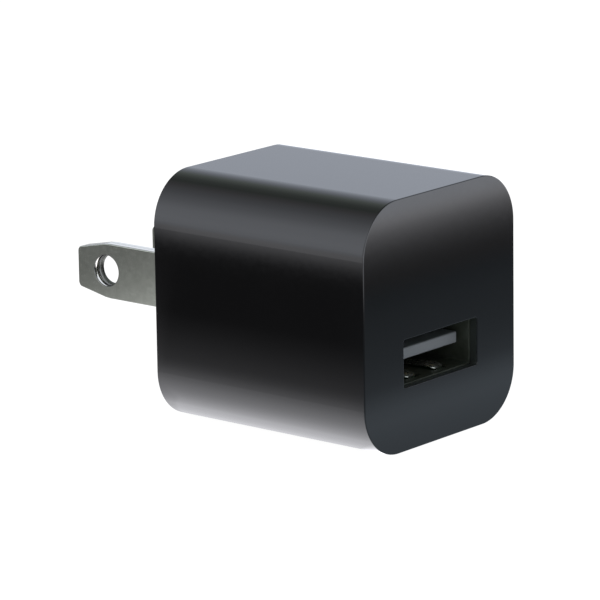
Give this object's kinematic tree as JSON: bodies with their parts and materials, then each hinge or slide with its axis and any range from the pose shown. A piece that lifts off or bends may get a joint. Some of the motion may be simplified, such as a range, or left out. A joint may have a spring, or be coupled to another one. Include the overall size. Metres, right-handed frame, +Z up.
{
  "type": "usb wall charger",
  "caption": "Cube-shaped wall charger with rounded long edges, a USB-A port in its front face and two fixed flat blades at the back.",
  "frame": {"origin": "centre of the wall face (the flat back of the body), midway between the two blades", "axes": "+Y out of the wall face along the blades, into the wall; +Z up; the USB face looks along -Y"},
  "size_m": [0.0266, 0.0468, 0.028],
  "materials": {
    "gloss_black": "polished moulded plastic",
    "blade_nickel": "satin nickel plating on folded brass",
    "shell_nickel": "satin nickel plating on thin steel",
    "contact_bronze": "phosphor bronze, satin",
    "insulator": "moulded thermoplastic, fine matt",
    "board_green": "solder resist on fibre board",
    "ferrite": "sintered ferrite, matt",
    "bobbin": "moulded phenolic",
    "copper": "enamelled copper wire",
    "tape_yellow": "polyester tape",
    "sleeve_black": "shrink sleeve on an aluminium can",
    "sleeve_green": "shrink sleeve on an aluminium can",
    "choke_sleeve": "shrink sleeve on a wound ferrite drum",
    "resistor_body": "ceramic coating",
    "ceramic_blue": "epoxy dip coating",
    "chip_plastic": "moulded epoxy",
    "chip_ceramic": "fired ceramic"
  },
  "bodies": {
    "charger": {"housing": "gloss_black", "rear_cap": "gloss_black", "left_blade": "blade_nickel", "right_blade": "blade_nickel", "left_blade_contact": "contact_bronze", "right_blade_contact": "contact_bronze", "circuit_board": "board_green", "usb_shell": "shell_nickel", "usb_tongue": "insulator", "usb_contact_tail_1": "contact_bronze", "usb_contact_tail_2": "contact_bronze", "usb_contact_tail_3": "contact_bronze", "usb_contact_tail_4": "contact_bronze", "transformer_core_upper": "ferrite", "transformer_core_lower": "ferrite", "transformer_bobbin": "bobbin", "transformer_winding": "copper", "transformer_tape": "tape_yellow", "input_capacitor_1": "sleeve_black", "input_capacitor_2": "sleeve_black", "output_capacitor": "sleeve_green", "input_choke": "choke_sleeve", "fuse_resistor": "resistor_body", "output_diode": "chip_plastic", "safety_capacitor": "ceramic_blue", "bridge_rectifier": "chip_plastic", "controller_chip": "chip_plastic", "snubber_diode": "chip_plastic", "snubber_resistor": "chip_ceramic", "snubber_capacitor": "chip_ceramic", "sense_resistor": "chip_ceramic", "supply_capacitor": "chip_ceramic", "feedback_resistor_upper": "chip_ceramic", "feedback_resistor_lower": "chip_ceramic", "output_filter_capacitor": "chip_ceramic"},
    "usb_contact_1": {"usb_contact_spring_1": "contact_bronze"},
    "usb_contact_2": {"usb_contact_spring_2": "contact_bronze"},
    "usb_contact_3": {"usb_contact_spring_3": "contact_bronze"},
    "usb_contact_4": {"usb_contact_spring_4": "contact_bronze"},
    "lower_left_finger": {"lower_left_shell_spring": "shell_nickel"},
    "lower_right_finger": {"lower_right_shell_spring": "shell_nickel"},
    "upper_left_finger": {"upper_left_shell_spring": "shell_nickel"},
    "upper_right_finger": {"upper_right_shell_spring": "shell_nickel"}
  },
  "joints": [
    {"name": "usb_contact_1_flex", "type": "hinge", "parent": "charger", "child": "usb_contact_1", "pos_m": [-0.0035, -0.0183, -0.00465], "axis": [-1, 0, 0], "range_deg": [0, 4], "stiffness_Nm_per_rad": 0.087},
    {"name": "usb_contact_2_flex", "type": "hinge", "parent": "charger", "child": "usb_contact_2", "pos_m": [-0.001, -0.0183, -0.00465], "axis": [-1, 0, 0], "range_deg": [0, 4], "stiffness_Nm_per_rad": 0.087},
    {"name": "usb_contact_3_flex", "type": "hinge", "parent": "charger", "child": "usb_contact_3", "pos_m": [0.001, -0.0183, -0.00465], "axis": [-1, 0, 0], "range_deg": [0, 4], "stiffness_Nm_per_rad": 0.087},
    {"name": "usb_contact_4_flex", "type": "hinge", "parent": "charger", "child": "usb_contact_4", "pos_m": [0.0035, -0.0183, -0.00465], "axis": [-1, 0, 0], "range_deg": [0, 4], "stiffness_Nm_per_rad": 0.087},
    {"name": "lower_left_finger_flex", "type": "hinge", "parent": "charger", "child": "lower_left_finger", "pos_m": [-0.0024, -0.02095, -0.00733], "axis": [1, 0, 0], "range_deg": [0, 2], "stiffness_Nm_per_rad": 0.31},
    {"name": "lower_right_finger_flex", "type": "hinge", "parent": "charger", "child": "lower_right_finger", "pos_m": [0.0024, -0.02095, -0.00733], "axis": [1, 0, 0], "range_deg": [0, 2], "stiffness_Nm_per_rad": 0.31},
    {"name": "upper_left_finger_flex", "type": "hinge", "parent": "charger", "child": "upper_left_finger", "pos_m": [-0.0024, -0.02095, -0.00191], "axis": [-1, 0, 0], "range_deg": [0, 2], "stiffness_Nm_per_rad": 0.31},
    {"name": "upper_right_finger_flex", "type": "hinge", "parent": "charger", "child": "upper_right_finger", "pos_m": [0.0024, -0.02095, -0.00191], "axis": [-1, 0, 0], "range_deg": [0, 2], "stiffness_Nm_per_rad": 0.31}
  ]
}
